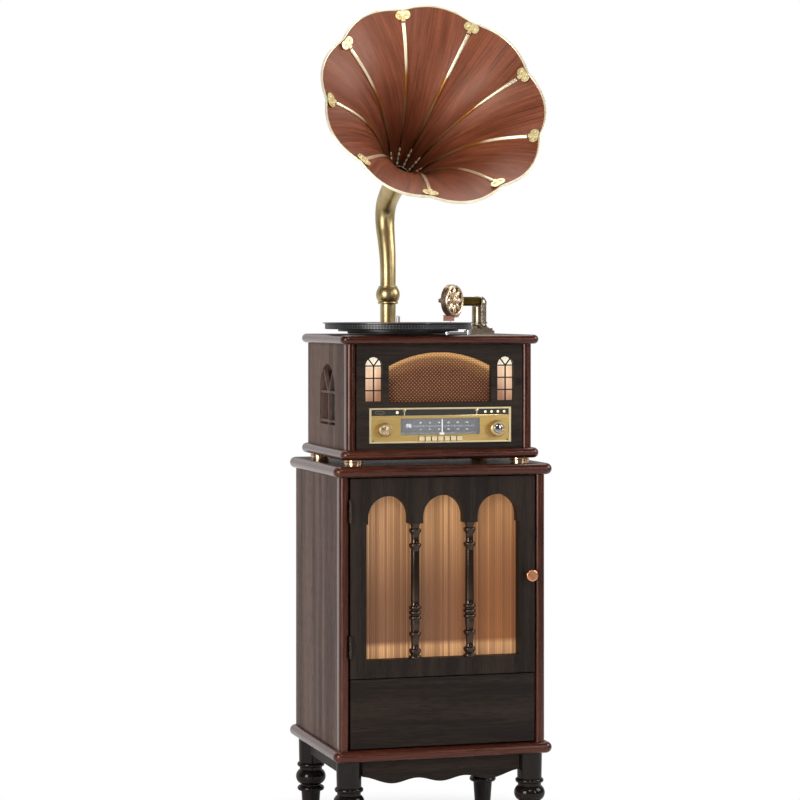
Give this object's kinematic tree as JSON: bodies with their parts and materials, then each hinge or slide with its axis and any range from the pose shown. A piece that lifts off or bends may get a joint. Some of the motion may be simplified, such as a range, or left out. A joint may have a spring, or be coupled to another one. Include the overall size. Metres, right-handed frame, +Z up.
{
  "type": "floor-standing horn gramophone",
  "caption": "Retro gramophone: a glazed-door cabinet with a drawer on turned legs, a radio housing with a turntable on it, and a tall swivelling flower horn.",
  "frame": {"origin": "on the floor, under the centre of the cabinet's plan", "axes": "+Z up; the front with the door, dial and horn mouth faces -Y; +X is to the right seen from the front"},
  "size_m": [0.4696, 0.4798, 1.6821],
  "materials": {
    "black_wood": "black open-grain lacquer, satin",
    "leg_lacquer": "glossy black-brown lacquer",
    "walnut": "grey-brown grain, satin",
    "mahogany": "dark red-brown, glossy",
    "inner_wood": "plain, matte",
    "dark_iron": "dark bronze",
    "rail_steel": "zinc plated",
    "amber_glass": "reeded, amber lit from within",
    "copper": "polished copper",
    "brass": "polished",
    "window_pane": "cream, lit from behind",
    "bronze_cloth": "woven bronze",
    "speaker_metal": "matte",
    "gold_panel": "brushed gold",
    "clear_glass": "clear",
    "pointer_paint": "cream white",
    "knob_gold": "turned, satin",
    "circuit": "solder mask",
    "socket_black": "moulded",
    "platter_black": "black with bright strobe dots",
    "vinyl": "grooved",
    "bright_steel": "polished",
    "belt_rubber": "matte",
    "bearing_brass": "machined",
    "arm_bronze": "dark antique bronze",
    "box_metal": "rose gold",
    "horn_brass": "antique satin brass",
    "petal_wood": "red-brown grain, satin",
    "pale_gold": "polished pale gold"
  },
  "bodies": {
    "cabinet": {"legs": "leg_lacquer", "aprons": "black_wood", "cabinet_base": "mahogany", "cabinet_sides": "walnut", "cabinet_shelf": "inner_wood", "cabinet_top": "mahogany", "corner_posts": "mahogany", "rear_panels": "walnut", "frame_hinges": "dark_iron", "drawer_rails": "rail_steel", "housing_feet": "brass", "housing_base": "mahogany", "housing_sides": "walnut", "housing_front": "black_wood", "housing_top": "mahogany", "window_panes": "window_pane", "speaker_cloths": "bronze_cloth", "loudspeakers": "speaker_metal", "radio_fascia": "gold_panel", "dial_glass": "clear_glass", "tuner_chassis": "rail_steel", "amplifier_board": "circuit", "power_inlet": "socket_black", "bearing_well": "bearing_brass", "drive_motor": "rail_steel", "drive_belt": "belt_rubber", "arm_base": "arm_bronze", "horn_socket": "horn_brass"},
    "door": {"door_frame": "black_wood", "door_spindles": "leg_lacquer", "door_glass": "amber_glass", "glass_frame": "black_wood", "door_hinges": "dark_iron", "door_knob": "copper"},
    "drawer": {"drawer_front": "black_wood", "drawer_box": "inner_wood"},
    "turntable": {"platter": "platter_black", "record": "vinyl", "spindle": "bright_steel"},
    "pulley": {"motor_pulley": "bearing_brass"},
    "arm_pillar": {"arm_head": "arm_bronze"},
    "arm": {"arm_tube": "arm_bronze", "sound_box": "box_metal"},
    "volume": {"volume_knob": "knob_gold"},
    "tuning": {"tuning_knob": "knob_gold"},
    "pointer": {"dial_pointer": "pointer_paint"},
    "key_1_body": {"key_1": "knob_gold"},
    "key_2_body": {"key_2": "knob_gold"},
    "key_3_body": {"key_3": "knob_gold"},
    "key_4_body": {"key_4": "knob_gold"},
    "key_5_body": {"key_5": "knob_gold"},
    "key_6_body": {"key_6": "knob_gold"},
    "key_7_body": {"key_7": "knob_gold"},
    "lever": {"start_lever": "bright_steel"},
    "horn": {"horn_collar": "horn_brass", "horn_neck": "horn_brass", "horn_petals": "petal_wood", "horn_ribs": "pale_gold", "horn_rim": "pale_gold", "horn_clasps": "pale_gold"}
  },
  "joints": [
    {"name": "door_hinge", "type": "hinge", "parent": "cabinet", "child": "door", "pos_m": [-0.189, -0.1746, 0.55], "axis": [0, 0, -1], "range_deg": [0, 110]},
    {"name": "drawer_slide", "type": "slide", "parent": "cabinet", "child": "drawer", "axis": [0, -1, 0], "range_m": [0, 0.24]},
    {"name": "turntable_spin", "type": "hinge", "parent": "cabinet", "child": "turntable", "pos_m": [-0.051, -0.03, 1.045], "axis": [0, 0, -1], "continuous": true},
    {"name": "pulley_spin", "type": "hinge", "parent": "cabinet", "child": "pulley", "pos_m": [0.04246, 0.04842, 1.03], "axis": [0, 0, -1], "continuous": true},
    {"name": "arm_swing", "type": "hinge", "parent": "cabinet", "child": "arm_pillar", "pos_m": [0.165, 0.11, 1.06], "axis": [0, 0, 1], "range_deg": [-18, 28]},
    {"name": "arm_lift", "type": "hinge", "parent": "arm_pillar", "child": "arm", "pos_m": [0.165, 0.11, 1.094], "axis": [-0.8212, 0.5707, 0], "range_deg": [0, 28]},
    {"name": "volume_turn", "type": "hinge", "parent": "cabinet", "child": "volume", "pos_m": [-0.115, -0.149, 0.844], "axis": [0, 1, 0], "range_deg": [-150, 150]},
    {"name": "tuning_turn", "type": "hinge", "parent": "cabinet", "child": "tuning", "pos_m": [0.115, -0.149, 0.844], "axis": [0, 1, 0], "range_deg": [-570, 497]},
    {"name": "pointer_slide", "type": "slide", "parent": "cabinet", "child": "pointer", "axis": [1, 0, 0], "range_m": [-0.076, 0.0662]},
    {"name": "key_1_press", "type": "slide", "parent": "cabinet", "child": "key_1_body", "axis": [0, 1, 0], "range_m": [0, 0.0025], "stiffness_N_per_m": 150},
    {"name": "key_2_press", "type": "slide", "parent": "cabinet", "child": "key_2_body", "axis": [0, 1, 0], "range_m": [0, 0.0025], "stiffness_N_per_m": 150},
    {"name": "key_3_press", "type": "slide", "parent": "cabinet", "child": "key_3_body", "axis": [0, 1, 0], "range_m": [0, 0.0025], "stiffness_N_per_m": 150},
    {"name": "key_4_press", "type": "slide", "parent": "cabinet", "child": "key_4_body", "axis": [0, 1, 0], "range_m": [0, 0.0025], "stiffness_N_per_m": 150},
    {"name": "key_5_press", "type": "slide", "parent": "cabinet", "child": "key_5_body", "axis": [0, 1, 0], "range_m": [0, 0.0025], "stiffness_N_per_m": 150},
    {"name": "key_6_press", "type": "slide", "parent": "cabinet", "child": "key_6_body", "axis": [0, 1, 0], "range_m": [0, 0.0025], "stiffness_N_per_m": 150},
    {"name": "key_7_press", "type": "slide", "parent": "cabinet", "child": "key_7_body", "axis": [0, 1, 0], "range_m": [0, 0.0025], "stiffness_N_per_m": 150},
    {"name": "start_lever_turn", "type": "hinge", "parent": "cabinet", "child": "lever", "pos_m": [0.025, -0.113, 1.03], "axis": [0, 0, -1], "range_deg": [0, 25]},
    {"name": "horn_swivel", "type": "hinge", "parent": "cabinet", "child": "horn", "pos_m": [-0.023, 0.14, 1.1], "axis": [0, 0, 1], "range_deg": [-35, 35]}
  ],
  "couplings": [
    {"joint": "pulley_spin", "follows": "turntable_spin", "ratio": 12.5},
    {"joint": "pointer_slide", "follows": "tuning_turn", "m_per_rad": 0.0076}
  ]
}
